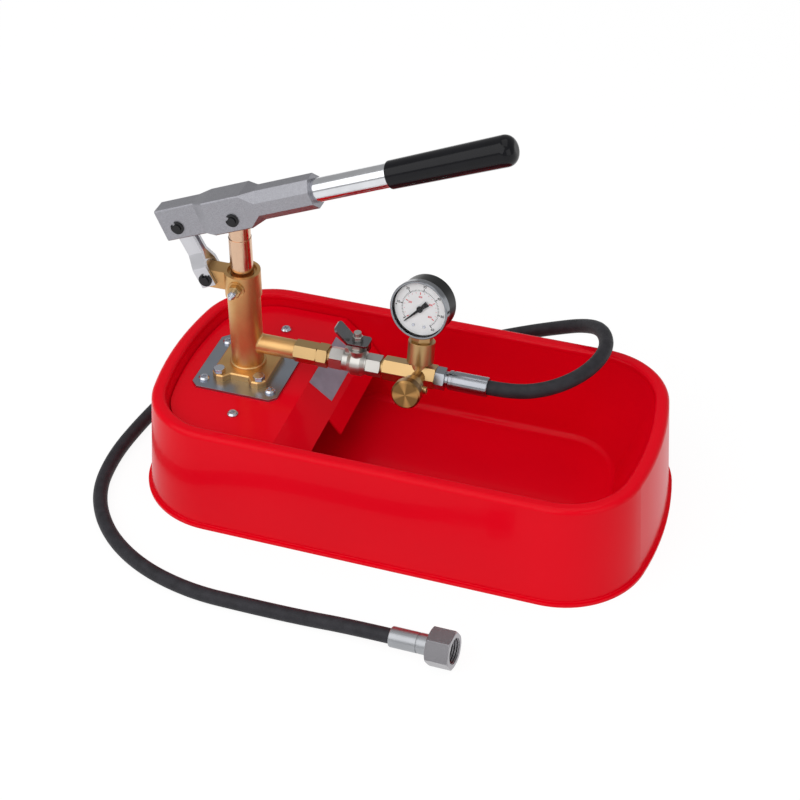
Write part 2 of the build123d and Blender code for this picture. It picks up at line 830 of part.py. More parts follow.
def lug():
    """Flat lug with a round end, on the left of the cylinder head."""
    outline = make_face(Polyline(
        (column_x, cylinder_top + lug_root_low), (column_x, cylinder_top + lug_root_high),
        (lug_pin_x, lug_pin_z + lug_round), (lug_pin_x, lug_pin_z - lug_round), close=True))
    upright = Pos(0, lug_half_width, 0) * Rot(quarter_turn, 0, 0)
    plate = extrude(upright * outline, 2 * lug_half_width, dir=(0, -1, 0))
    crosswise = sized((lug_pin_x, 0, lug_pin_z), (0, 1, 0))
    return plate + rod(crosswise, lug_round, -lug_half_width, lug_half_width)


def cylinder_head():
    """Collar with the lug, the grease boss and the gland's room."""
    collar = rod(column, head_radius, cylinder_top, head_top) + lug()
    front = sized((column_x, 0, grease_z), (0, -1, 0))
    collar += rod(front, grease_boss_radius, 0, -grease_boss_y)
    collar -= rod(column, cylinder_bore, cylinder_top - cut_over, head_top + cut_over)
    collar -= rod(column, head_recess_radius, head_top - head_recess_depth, head_top + cut_over)
    collar -= rod(column, gland_radius, cylinder_top - cut_over, cylinder_top + gland_height)
    collar -= rod(front, grease_hole_radius, 0, -grease_boss_y + cut_over)
    crosswise = sized((lug_pin_x, 0, lug_pin_z), (0, 1, 0))
    reach = lug_half_width + cut_over
    return collar - rod(crosswise, pin_radius + run_gap, -reach, reach)


def gland_seal():
    inner = piston_radius + run_gap
    return tube(column, gland_radius - seat_gap, inner, cylinder_top, cylinder_top + gland_height)


def grease_hex():
    front = sized((column_x, 0, grease_z), (0, -1, 0))
    base = -grease_boss_y
    nut = hexagon(front, grease_hex_across, base, base + grease_hex_height, grease_turn)
    return nut - rod(front, grease_hole_radius, base - cut_over, base + grease_hex_height + cut_over)


def grease_nipple():
    front = sized((column_x, 0, grease_z), (0, -1, 0))
    base = -grease_boss_y + grease_hex_height
    stem_end = base + grease_stem_height
    tip_end = stem_end + grease_tip_height
    nipple = rod(front, grease_stem_radius, base, stem_end)
    shoulder = stem_end + grease_tip_height * grease_shoulder_share
    nipple += taper(front, grease_stem_radius * grease_waist_share, grease_tip_radius, stem_end, shoulder)
    nipple += taper(front, grease_tip_radius, grease_stem_radius / 2, shoulder, tip_end)
    return nipple - rod(front, grease_hole_radius, base - cut_over, tip_end - cut_over)


def piston_rod():
    """Plunger; its eye is a slot that gives the lever's pin room to swing."""
    plunger = rod(column, piston_radius, cylinder_top - piston_depth, piston_ring_z)
    top = piston_pin_z + piston_neck_radius
    neck = rod(column, piston_neck_radius, piston_ring_z, top)
    plunger += chamfer(neck.edges().group_by(Axis.Z)[-1], piston_top_chamfer)
    room = pin_radius + free_gap
    reach = piston_radius + cut_over
    low = (-room - eye_room_left, -reach, piston_pin_z - room - eye_room_height)
    high = (room + eye_room_right, reach, piston_pin_z + room + eye_room_height)
    eye = block(column, low, high)
    eye = fillet(eye.edges().filter_by(Axis.Y), pin_radius)
    return plunger - eye


def eight_sided(u, half, low, high, cut):
    """A section of the lever head: a rectangle with cut corners, square to the handle."""
    place = lever_place * Pos(u, 0, 0) * Rot(0, quarter_turn, 0)
    points = [
        (-half, low + cut), (-half, high - cut), (-half + cut, high), (half - cut, high),
        (half, high - cut), (half, low + cut), (half - cut, low), (-half + cut, low),
    ]
    return place * make_face(Polyline(*points, close=True))


def lever_head():
    """Cast head: a thin fork for the link, a thick fork for the piston and an eight sided socket."""
    socket_cut = socket_half * (1 - tan(pi / socket_sides))
    socket_low = axis_v - socket_half
    socket_high = axis_v + socket_half
    head = loft([
        eight_sided(thin_end_u, thin_half, thin_low_v, thin_high_v, edge_cut),
        eight_sided(ramp_start_u, thin_half, thin_low_v, thin_high_v, edge_cut),
        eight_sided(ramp_end_u, thick_half, thick_low_v, thick_high_v, edge_cut),
        eight_sided(thick_end_u, thick_half, thick_low_v, thick_high_v, edge_cut),
        eight_sided(socket_start_u, socket_half, socket_low, socket_high, socket_cut),
        eight_sided(socket_end_u, socket_half, socket_low, socket_high, socket_cut),
    ], ruled=True)
    low = thick_low_v - cut_over
    roof = thin_high_v - head_wall
    thin = thin_half - head_wall + thin_fork_ease
    thick = thick_half - head_wall
    head -= block(lever_place, (thin_end_u + head_wall, low, -thin), (ramp_end_u + cut_over, roof, thin))
    head -= block(lever_place, (ramp_end_u + thick_fork_start, low, -thick), (slot_end_u, roof, thick))
    along = lever_place * Pos(0, axis_v, 0) * Rot(0, quarter_turn, 0)
    head -= rod(along, tube_radius + run_gap, tube_start_u, socket_end_u + cut_over)
    reach = thick_half + cut_over
    for u, v in ((0, 0), (link_pin_u, link_pin_v)):
        head -= rod(lever_place * Pos(u, v, 0), pin_radius + run_gap, -reach, reach)
    return head


def lever_tube():
    along = lever_place * Pos(0, axis_v, 0) * Rot(0, quarter_turn, 0)
    return tube(along, tube_radius, tube_radius - tube_wall, tube_start_u, tube_end_u)


def lever_grip():
    """Rubber sleeve that swells a little towards its rounded tip."""
    along = lever_place * Pos(0, axis_v, 0) * Rot(0, quarter_turn, 0)
    grip = taper(along, grip_start_radius, grip_end_radius, grip_start_u, grip_end_u)
    ends = grip.edges().filter_by(GeomType.CIRCLE).sort_by(Axis.X)
    grip = fillet(ends[-1], grip_tip_round)
    first = grip.edges().filter_by(GeomType.CIRCLE).sort_by(Axis.X)[0]
    grip = fillet(first, grip_lip_round)
    return grip - rod(along, tube_radius + run_gap, grip_start_u - cut_over, tube_end_u + seat_gap)


def clip_band(half_width):
    """Where a clip starts and ends along its pin, outside a half width."""
    start = half_width + clip_set_back
    return start, start + clip_thickness


def clipped_pin(place, half_width):
    """A pin with a groove at each end for its clip."""
    reach = half_width + clip_set_back + pin_stand_out
    pin = rod(place, pin_radius, -reach, reach)
    start, end = clip_band(half_width)
    outer = pin_radius + cut_over
    for side in (0, half_turn):
        turned = place * Rot(side, 0, 0)
        pin -= tube(turned, outer, clip_inner - run_gap, start - seat_gap, end + seat_gap)
    return pin


def clip_pair(place, half_width, turn):
    """Two open retaining clips on one pin."""
    pair = []
    start, end = clip_band(half_width)
    half = clip_mouth / 2
    reach = clip_radius + cut_over
    for side in (0, half_turn):
        turned = place * Rot(side, 0, 0)
        mouth = turned * Rot(0, 0, turn)
        clip = tube(turned, clip_radius, clip_inner, start, end)
        clip -= block(mouth, (0, -half, start - cut_over), (reach, half, end + cut_over))
        pair.append(clip)
    return pair


def link_strap(side):
    """One joggled strap; the link's own frame runs down from the lever's pin."""
    inner = [
        (-strap_end, strap_upper_y), (joggle_start, strap_upper_y),
        (joggle_end, lug_strap_y), (link_length + strap_end, lug_strap_y),
    ]
    line = FilletPolyline(*inner, radius=strap_thickness / 2)
    section = make_face(offset(line, strap_thickness, side=Side.LEFT))
    edgewise = link_place * Pos(0, -strap_width / 2, 0) * Rot(quarter_turn, 0, 0)
    strap = extrude(edgewise * section, strap_width, dir=edgewise_direction())
    if side < 0:
        strap = mirror(strap, Plane.XZ)
    reach = lug_strap_y + strap_thickness + cut_over
    for run in (0, link_length):
        strap -= rod(link_place * Pos(run, 0, 0), pin_radius + run_gap, -reach, reach)
    return strap


def edgewise_direction():
    """Across the strap's width, square to its length."""
    return (link_down[2], 0, -link_down[0])


def link_spacer():
    return tube(link_place, spacer_radius, pin_radius + run_gap, -strap_upper_y, strap_upper_y)


def outlet_adapter():
    """Brass hexagon that holds the delivery ball."""
    adapter = hexagon(outlet, adapter_across, arm_end_x, adapter_end_x, 0, pipe_hex_cut)
    chamber_end = arm_end_x + delivery_chamber_length
    adapter -= rod(outlet, port_radius, arm_end_x - cut_over, adapter_end_x + cut_over)
    return adapter - rod(outlet, delivery_chamber_radius, arm_end_x - cut_over, chamber_end)


def ball_rise():
    return sqrt(delivery_ball_radius ** 2 - port_radius ** 2)


def delivery_ball():
    return outlet * Pos(0, 0, arm_end_x + ball_rise() + seat_gap) * Sphere(delivery_ball_radius)


def delivery_spring():
    radius = port_radius + spring_wire
    start = arm_end_x + 2 * ball_rise() + free_gap
    return helix_spring(outlet, radius, start, arm_end_x + delivery_chamber_length - seat_gap)


def outlet_union():
    hex_end = union_end_x - pipe_neck_length
    union = hexagon(outlet, union_across, adapter_end_x, hex_end, 0, pipe_hex_cut)
    union += rod(outlet, pipe_neck_radius, hex_end, union_end_x)
    return union - rod(outlet, port_radius, adapter_end_x - cut_over, union_end_x + cut_over)


def valve_body():
    """Nickel plated ball valve with a hexagon at each end, a barrel, a stem boss and a stop lug."""
    body = hexagon(outlet, valve_left_across, union_end_x, valve_left_end_x, hex_half_step, pipe_hex_cut)
    body += rod(outlet, valve_body_radius, valve_left_end_x, valve_body_end_x)
    barrel_start = stem_x - valve_barrel_half
    barrel_end = stem_x + valve_barrel_half
    left = barrel_start - valve_shoulder
    right = barrel_end + valve_shoulder
    body += taper(outlet, valve_body_radius, valve_barrel_radius, left, barrel_start)
    body += rod(outlet, valve_barrel_radius, barrel_start, barrel_end)
    body += taper(outlet, valve_barrel_radius, valve_body_radius, barrel_end, right)
    body += hexagon(outlet, valve_right_across, valve_body_end_x, valve_end_x, 0, pipe_hex_cut)
    upright = sized((stem_x, 0, 0), (0, 0, 1))
    body += taper(upright, stem_boss_foot_radius, stem_boss_radius, outlet_z, stem_boss_top)
    half = stop_lug_width / 2
    stop_x = valve_left_end_x + stop_lug_run
    body += block(Pos(stop_x, 0, outlet_z), (-half, -half, 0), (half, half, stop_lug_rise))
    body -= Pos(stem_x, 0, outlet_z) * Sphere(ball_radius + free_gap)
    body -= rod(upright, stem_radius + run_gap, outlet_z, stem_boss_top + cut_over)
    return body - rod(outlet, port_radius, union_end_x - cut_over, valve_end_x + cut_over)


def valve_ball():
    ball = Sphere(ball_radius) - Rot(0, quarter_turn, 0) * Cylinder(port_radius, 2 * ball_radius + cut_over)
    return Pos(stem_x, 0, outlet_z) * ball


def valve_stem():
    """Stem from the ball up through the packing to the lever's nut."""
    upright = sized((stem_x, 0, 0), (0, 0, 1))
    stem = rod(upright, stem_radius, outlet_z + port_radius, stem_top)
    return stem - Pos(stem_x, 0, outlet_z) * Sphere(ball_radius + seat_gap)


def packing_nut():
    upright = sized((stem_x, 0, 0), (0, 0, 1))
    nut = hexagon(upright, packing_across, stem_boss_top, packing_top)
    return nut - rod(upright, stem_radius + run_gap, stem_boss_top - cut_over, packing_top + cut_over)


def valve_lever():
    """Stamped wing handle: a flat hub, one wing bent up and a stop tab."""
    left = stem_x - wing_hub_left
    right = stem_x + wing_hub_right
    low = wing_z - wing_thickness / 2
    line = Polyline((right, low), (left, low), (left - wing_tip_run, low + wing_tip_rise))
    section = make_face(offset(line, wing_thickness, side=Side.RIGHT, kind=Kind.INTERSECTION))
    half = wing_width / 2
    wing = extrude(Pos(0, half, 0) * Rot(quarter_turn, 0, 0) * section, wing_width, dir=(0, -1, 0))
    tips = [e for e in wing.edges() if e.length < 2 * wing_thickness]
    tips = [e for e in tips if abs(abs(e.center().Y) - half) < seat_gap]
    far_left = left - wing_tip_run / 2
    far_right = stem_x + wing_hub_right / 2
    ends = [e for e in tips if e.center().X < far_left or e.center().X > far_right]
    wing = fillet(ends, wing_round)
    tab = stop_tab_width / 2
    wing += block(Pos(0, 0, 0), (right - wing_thickness, -tab, low - stop_tab_drop), (right, tab, wing_z))
    upright = sized((stem_x, 0, 0), (0, 0, 1))
    return wing - rod(upright, stem_radius + seat_gap, outlet_z, stem_top)


def valve_lever_nut():
    upright = sized((stem_x, 0, 0), (0, 0, 1))
    low = wing_z + wing_thickness / 2
    nut = hexagon(upright, lever_nut_across, low, low + lever_nut_height, lever_nut_turn)
    return nut - rod(upright, stem_radius + seat_gap, low - cut_over, stem_top)


def tee_block():
    """Brass hexagon bar with the gauge boss, the drain boss on its neck and the small spout."""
    leaning = outlet * Rot(0, 0, -tee_lean)
    tee = hexagon(leaning, tee_across, valve_end_x + pipe_neck_length, tee_end_x)
    tee += rod(outlet, pipe_neck_radius, valve_end_x, valve_end_x + pipe_neck_length)
    tee += rod(gauge_leg, gauge_foot_radius, 0, gauge_boss_start)
    tee += rod(gauge_leg, gauge_boss_radius, gauge_boss_start, gauge_boss_end)
    tee += rod(drain_leg, drain_neck_radius, 0, drain_boss_start)
    boss = rod(drain_leg, drain_boss_radius, drain_boss_start, drain_boss_end)
    tee += chamfer(boss.edges().filter_by(GeomType.CIRCLE), drain_rim_cut)
    spout = drain_leg * Pos(0, 0, spout_k) * Rot(0, quarter_turn, 0)
    tee += rod(spout, spout_radius, 0, spout_reach)
    tee -= rod(outlet, port_radius, valve_end_x - cut_over, tee_end_x + cut_over)
    tee -= rod(gauge_leg, port_radius, 0, gauge_boss_end + cut_over)
    tee -= rod(drain_leg, drain_bore, drain_seat_k, drain_boss_end + cut_over)
    tee -= rod(drain_leg, spout_bore, 0, drain_seat_k + cut_over)
    return tee - rod(spout, spout_bore, 0, spout_reach + cut_over)


def gauge_stem():
    """Hexagon shank of the gauge, with a neck that enters the case."""
    stem = hexagon(gauge_leg, gauge_stem_across, gauge_boss_end, gauge_stem_end, hex_half_step)
    stem += rod(gauge_leg, gauge_neck_radius, gauge_boss_end, gauge_centre - movement_radius)
    return stem - rod(gauge_leg, port_radius / 2, 0, gauge_centre)


def gauge_case():
    """Cup that holds the movement, open to the front and pierced below for its neck."""
    case = rod(gauge_face, case_radius, gauge_back, lens_back)
    case = fillet(case.edges().filter_by(GeomType.CIRCLE).sort_by(Axis.Y)[-1], case_wall)
    case -= rod(gauge_face, case_radius - case_wall, gauge_back + case_wall, lens_back + cut_over)
    return case - rod(gauge_leg, gauge_neck_radius + seat_gap, gauge_stem_end - cut_over, gauge_centre)


def gauge_bezel():
    """Ring that clamps the lens on the case."""
    start = gauge_front - bezel_cover
    ring = rod(gauge_face, gauge_radius, start, gauge_front)
    ring = chamfer(ring.edges().filter_by(GeomType.CIRCLE).sort_by(Axis.Y)[0], bezel_lip / 2)
    ring -= rod(gauge_face, case_radius + run_gap, start - cut_over, gauge_front - bezel_lip)
    return ring - rod(gauge_face, gauge_radius - bezel_face, start, gauge_front + cut_over)


def gauge_lens():
    return rod(gauge_face, case_radius - seat_gap, lens_back, gauge_front - bezel_lip)


def gauge_dial():
    dial = rod(gauge_face, dial_radius, dial_rear, dial_face)
    dial -= rod(gauge_face, spindle_radius + free_gap, dial_rear - cut_over, dial_face + cut_over)
    for side in (-dial_screw_x, dial_screw_x):
        spot = gauge_face * Pos(side, -dial_screw_drop, 0)
        dial -= rod(spot, dial_screw_radius / 2 + seat_gap, dial_rear - cut_over, dial_face + cut_over)
    return dial


def dial_screws():
    screws = []
    for side in (-dial_screw_x, dial_screw_x):
        spot = gauge_face * Pos(side, -dial_screw_drop, 0)
        screw = rod(spot, dial_screw_radius, dial_face, dial_face + dial_screw_height)
        screws.append(screw + rod(spot, dial_screw_radius / 2, dial_rear - dial_screw_height, dial_face))
    return Compound(children=screws)


def gauge_movement():
    """Round movement block on the neck, with a bridge that carries the dial."""
    start = dial_rear - movement_depth
    hub = rod(gauge_face, movement_radius, gauge_back + case_wall, dial_rear)
    arm_half = movement_radius / 2
    arm_low = -dial_screw_drop - 2 * dial_screw_radius
    arm_side = arm_half + dial_screw_radius
    hub += block(gauge_face, (-arm_side, arm_low, start), (arm_side, 0, dial_rear))
    hub -= rod(gauge_leg, gauge_neck_radius + seat_gap, 0, gauge_centre - movement_radius + seat_gap)
    for side in (-dial_screw_x, dial_screw_x):
        spot = gauge_face * Pos(side, -dial_screw_drop, 0)
        hub -= rod(spot, dial_screw_radius / 2 + seat_gap, start - cut_over, dial_rear + cut_over)
    return hub - rod(gauge_face, spindle_radius + run_gap, start, dial_rear + cut_over)


def gauge_needle():
    """Pointer with a wide tail on its spindle; it points at the lower left of the dial."""
    low = dial_face + needle_lift
    high = low + needle_thickness
    pointing = gauge_face * Rot(0, 0, needle_zero)
    needle_length = dial_radius * needle_share
    needle_tail = dial_radius * needle_tail_share
    outline = [
        (-needle_tail, -needle_tail_width / 2), (0, -needle_root_width / 2),
        (needle_length, -needle_tip_width / 2), (needle_length, needle_tip_width / 2),
        (0, needle_root_width / 2), (-needle_tail, needle_tail_width / 2),
    ]
    needle = prism(pointing, outline, low, high)
    needle += rod(gauge_face, needle_hub_radius, low, high + needle_thickness / 2)
    return needle + rod(gauge_face, spindle_radius, dial_rear - movement_depth / 2, low)


def drain_spindle():
    """Spindle with a cone tip that closes the drain."""
    tip_end = drain_seat_k + free_gap + drain_tip_length
    spindle = rod(drain_leg, drain_spindle_radius, tip_end, drain_disc_start + drain_socket)
    return spindle + taper(drain_leg, spout_bore / 2, drain_spindle_radius, drain_seat_k + free_gap, tip_end)


def drain_knob():
    """Brass knob: a wide disc with a chamfer at both rims, on the end of the spindle."""
    disc = rod(drain_leg, drain_disc_radius, drain_disc_start, drain_disc_end)
    knob = chamfer(disc.edges().filter_by(GeomType.CIRCLE), drain_disc_cut)
    return knob - rod(drain_leg, drain_spindle_radius + run_gap, 0, drain_disc_start + drain_socket)


def hose_nipple():
    """Plated hexagon with a collar and a barb inside the ferrule."""
    nipple = hexagon(outlet, nipple_across, tee_end_x, nipple_hex_end_x)
    nipple += rod(outlet, nipple_collar_radius, nipple_hex_end_x, ferrule_start_x)
    nipple += rod(outlet, nipple_barb_radius, ferrule_start_x, ferrule_end_x - nipple_barb_end)
    return nipple - rod(outlet, port_radius / 2, tee_end_x - cut_over, ferrule_end_x)


def grooved_ferrule(place, start, end, groove_share):
    """Crimped sleeve with rounded ends and one groove line."""
    sleeve = rod(place, ferrule_radius, start, end)
    sleeve = fillet(sleeve.edges().filter_by(GeomType.CIRCLE), ferrule_round)
    middle = start + (end - start) * groove_share
    half = groove_width / 2
    outer = ferrule_radius + cut_over
    sleeve -= tube(place, outer, ferrule_radius - groove_depth, middle - half, middle + half)
    bore_end = end - nipple_barb_end + seat_gap
    return sleeve - rod(place, nipple_barb_radius + seat_gap, start - cut_over, bore_end)


def near_ferrule():
    return grooved_ferrule(outlet, ferrule_start_x, ferrule_end_x, near_groove_share)


def far_ferrule():
    return grooved_ferrule(far_back, -far_ferrule_length, 0, 1 - far_groove_share)


def hose_tail():
    """Plated stem with a flange inside the union nut."""
    flange_start = nut_flange + free_gap
    tail = rod(far_place, tail_radius, far_ferrule_length, flange_start)
    tail += rod(far_place, tail_flange_radius, flange_start, flange_start + tail_flange_width)
    tail += rod(far_place, nipple_barb_radius, nipple_barb_end, far_ferrule_length)
    return tail - rod(far_place, tail_bore, 0, nut_flange + 2 * tail_flange_width)


def union_washer():
    start = nut_flange + free_gap + tail_flange_width
    return tube(far_place, tail_flange_radius, washer_bore, start, start + washer_width)


def union_nut():
    """Hexagon union nut that turns freely on the hose's tail; its back end rests on the floor."""
    end = nut_start + union_nut_length
    nut = hexagon(far_place, union_nut_across, nut_start, end, hex_half_step, union_nut_chamfer)
    nut -= rod(far_place, union_nut_bore, nut_flange, end + cut_over)
    relief_end = nut_flange + free_gap + tail_flange_width + washer_width + free_gap
    nut -= rod(far_place, thread_relief, nut_flange, relief_end)
    return nut - rod(far_place, tail_radius + free_gap, nut_start - cut_over, nut_flange + cut_over)


def hose_route():
    """The hose's points in millimetres, from the near ferrule to the far one."""
    half_length = tank_length / 2
    half_width = tank_width / 2
    lift = outlet_z - hose_radius
    route = [(ferrule_end_x + x, y * half_width, hose_radius + z * lift) for x, y, z in hose_loop]
    route += [(x * half_length, y * half_width, hose_radius + z * lift) for x, y, z in hose_lay]
    route.append(tuple(end - hose_last_run * step for end, step in zip(far_end, far_axis)))
    return route + [far_end]


def hose_tube():
    """The hose's free run: straight runs joined by arcs as large as they allow."""
    points = [Vector(*p) for p in hose_route()]
    radii = []
    length = 0
    for before, corner, after in zip(points, points[1:], points[2:]):
        run_in = corner - before
        run_out = after - corner
        turn = radians(run_in.get_angle(run_out))
        shorter = min(run_in.length, run_out.length)
        radius = hose_fillet_share * shorter / tan(turn / 2)
        radii.append(radius)
        length += run_in.length - 2 * radius * tan(turn / 2) + radius * turn
    length += (points[-1] - points[-2]).length
    path = FilletPolyline(*points, radius=radii)
    profile = Plane(origin=points[0], z_dir=points[1] - points[0]) * Circle(hose_radius)
    hose = sweep(profile, path=path)
    print("hose radii", [round(r) for r in radii])
    print("hose length", round(length, 1))
    return hose


def write_parts():
    os.makedirs("parts", exist_ok=True)
    save("tank_skirt", tank_skirt())
    save("tank_trough", tank_trough())
    save("pump_deck", pump_deck())
    save("deck_posts", deck_posts())
    save("deck_screws", deck_screws())
    save("rating_label", rating_label())
    save("mounting_plate", mounting_plate())
    save("plate_screws", plate_screws())
    save("pump_foot", pump_foot())
    save("foot_bolts", foot_bolts())
    save("deck_nuts", Compound(children=plate_nuts() + foot_nuts()))
    save("pump_cylinder", pump_cylinder())
    save("suction_valve", suction_valve())
    save("suction_ball", suction_ball())
    save("suction_tube", suction_tube())
    save("suction_strainer", suction_strainer())
    save("cylinder_head", cylinder_head())
    save("gland_seal", gland_seal())
    save("grease_hex", grease_hex())
    save("grease_nipple", grease_nipple())
    save("piston_rod", piston_rod())
    save("lever_head", lever_head())
    save("lever_tube", lever_tube())
    save("lever_grip", lever_grip())
    save("link_pin", clipped_pin(link_pin_place, thin_half))
    save("piston_pin", clipped_pin(lever_place, thick_half))
    clips = clip_pair(link_pin_place, thin_half, link_clip_turn)
    clips += clip_pair(lever_place, thick_half, lever_clip_turn)
    save("lever_clips", Compound(children=clips))
    lug_half = lug_strap_y + strap_thickness
    lug_place = link_place * Pos(link_length, 0, 0)
    save("lug_pin", clipped_pin(lug_place, lug_half))
    save("lug_clips", Compound(children=clip_pair(lug_place, lug_half, lever_clip_turn)))
    save("link_strap_rear", link_strap(1))
    save("link_strap_front", link_strap(-1))
    save("link_spacer", link_spacer())
    save("outlet_adapter", outlet_adapter())
    save("delivery_ball", delivery_ball())
    save("check_springs", Compound(children=[suction_spring(), delivery_spring()]))
    save("outlet_union", outlet_union())
    save("valve_body", valve_body())
    save("valve_ball", valve_ball())
    save("valve_stem", valve_stem())
    save("packing_nut", packing_nut())
    save("valve_lever", valve_lever())
    save("valve_lever_nut", valve_lever_nut())
    save("tee_block", tee_block())
    save("gauge_stem", gauge_stem())
    save("gauge_case", gauge_case())
    save("gauge_bezel", gauge_bezel())
    save("gauge_lens", gauge_lens())
    save("gauge_dial", gauge_dial())
    save("dial_screws", dial_screws())
    save("gauge_needle", gauge_needle())
    save("gauge_movement", gauge_movement())
    save("drain_spindle", drain_spindle())
    save("drain_knob", drain_knob())
    save("hose_nipple", hose_nipple())
    save("near_ferrule", near_ferrule())
    save("hose_tube", hose_tube())
    save("far_ferrule", far_ferrule())
    save("hose_tail", hose_tail())
    save("union_washer", union_washer())
    save("union_nut", union_nut())


write_parts()
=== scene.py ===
from math import cos, pi, radians, sin

import bmesh
import bpy
from mathutils import Matrix, Vector


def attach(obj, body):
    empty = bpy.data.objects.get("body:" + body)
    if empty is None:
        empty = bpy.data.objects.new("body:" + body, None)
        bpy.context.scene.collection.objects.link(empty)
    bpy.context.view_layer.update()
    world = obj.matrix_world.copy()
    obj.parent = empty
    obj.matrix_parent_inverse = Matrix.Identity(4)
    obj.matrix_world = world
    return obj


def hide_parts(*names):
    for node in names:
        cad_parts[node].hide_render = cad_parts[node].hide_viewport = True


# Hydrostatic test pump on its red tank, seen from the front right. Lengths are in metres.
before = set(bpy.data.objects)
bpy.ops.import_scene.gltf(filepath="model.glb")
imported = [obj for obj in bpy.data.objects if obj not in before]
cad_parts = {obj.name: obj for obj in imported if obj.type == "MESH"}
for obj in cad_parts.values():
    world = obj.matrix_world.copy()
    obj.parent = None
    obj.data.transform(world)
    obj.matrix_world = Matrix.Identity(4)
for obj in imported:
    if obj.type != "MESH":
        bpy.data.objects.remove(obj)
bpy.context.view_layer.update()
MM = 0.001

# Camera, at the photograph's viewing angle
camera_place = (0.31082, -0.97803, 0.89001)
camera_azimuth = 18.05
camera_elevation = 38.48
camera_roll = -0.12
camera_lens = 78.87
sensor_width = 36

# Hose, the same route as the solid
hose_diameter = 11 * MM
hose_route = [
    (60, 0, 100.5), (80, 0, 100.5), (102.5, 8.5, 102.5), (120.5, 26, 104.5), (131, 48.5, 106),
    (132.5, 72.5, 105), (123, 96, 101), (105.5, 113.5, 88.5), (81.5, 122.5, 74), (56, 128.5, 60),
    (25.9, 131.5, 44.5), (-7, 136, 29.5), (-45, 141, 15), (-88, 142, 5.5), (-133, 135, 5.5),
    (-173, 114, 5.5), (-200, 79, 5.5), (-213.6, 35, 5.5), (-221.6, -11, 5.5), (-225, -56, 5.5),
    (-217.9, -99, 5.5), (-192.4, -136, 5.5), (-155.1, -161.5, 5.5), (-109.9, -174.5, 5.5),
    (-65, -175, 5.5), (-24, -174.5, 5.5), (11.13, -173.26, 6.51), (42.863, -176.029, 9.519),
]

# Far fitting, how it lies on the floor
hose_route_end = [c * MM for c in hose_route[-1]]
fitting_pitch = 5.4
fitting_yaw = -5.0
thread_radius = 9.9 * MM
thread_pitch = 1.81 * MM

# Gauge face, leaning back with the tee block
tee_lean = 13.7
gauge_yaw = 5.8
gauge_x = 7 * MM
outlet_z = 100.5 * MM
gauge_rise = 55 * MM
dial_face = 8.75 * MM  # from the gauge's axis point forward to the face of the dial
ink_height = 0.03 * MM
ink_spread = 0.06 * MM
scale_start = 218
scale_sweep = 270
black_top = 60
black_step = 10
black_divisions = 60
black_minor = 10
red_full = 870
red_top = 800
red_step = 200
red_minor = 50
tick_start = 13.5 * MM
tick_end = 14.7 * MM
major_tick_end = 15.8 * MM
tick_width = 0.32 * MM
major_tick_width = 0.7 * MM
number_radius = 17.5 * MM
number_size = 2.7 * MM
red_tick_start = 12.1 * MM
red_major_start = 10.9 * MM
red_tick_end = 12.8 * MM
red_tick_width = 0.3 * MM
red_major_width = 0.6 * MM
red_number_radius = 9.1 * MM
red_number_size = 2.0 * MM
mark_start = 18.4 * MM
mark_end = 19.3 * MM
mark_width = 0.9 * MM

# Drain knob
drain_x = 8.45 * MM
# Painted highlight on the knob's face: how many light bands go round it, and where they start.
knob_highlight_bands = 4
knob_highlight_start = 0.6

# Floor
floor_size = 30
floor_glow = 1.05
floor_share = 0.88  # how much of the floor's look is plain glow and not lit surface


def make_camera():
    data = bpy.data.cameras.new("camera")
    data.lens = camera_lens
    data.sensor_width = sensor_width
    camera = bpy.data.objects.new("camera", data)
    bpy.context.scene.collection.objects.link(camera)
    turn = Matrix.Rotation(radians(camera_azimuth), 4, "Z")
    tip = Matrix.Rotation(radians(90 - camera_elevation), 4, "X")
    roll = Matrix.Rotation(radians(camera_roll), 4, "Z")
    camera.matrix_world = Matrix.Translation(camera_place) @ turn @ tip @ roll
    bpy.context.scene.camera = camera


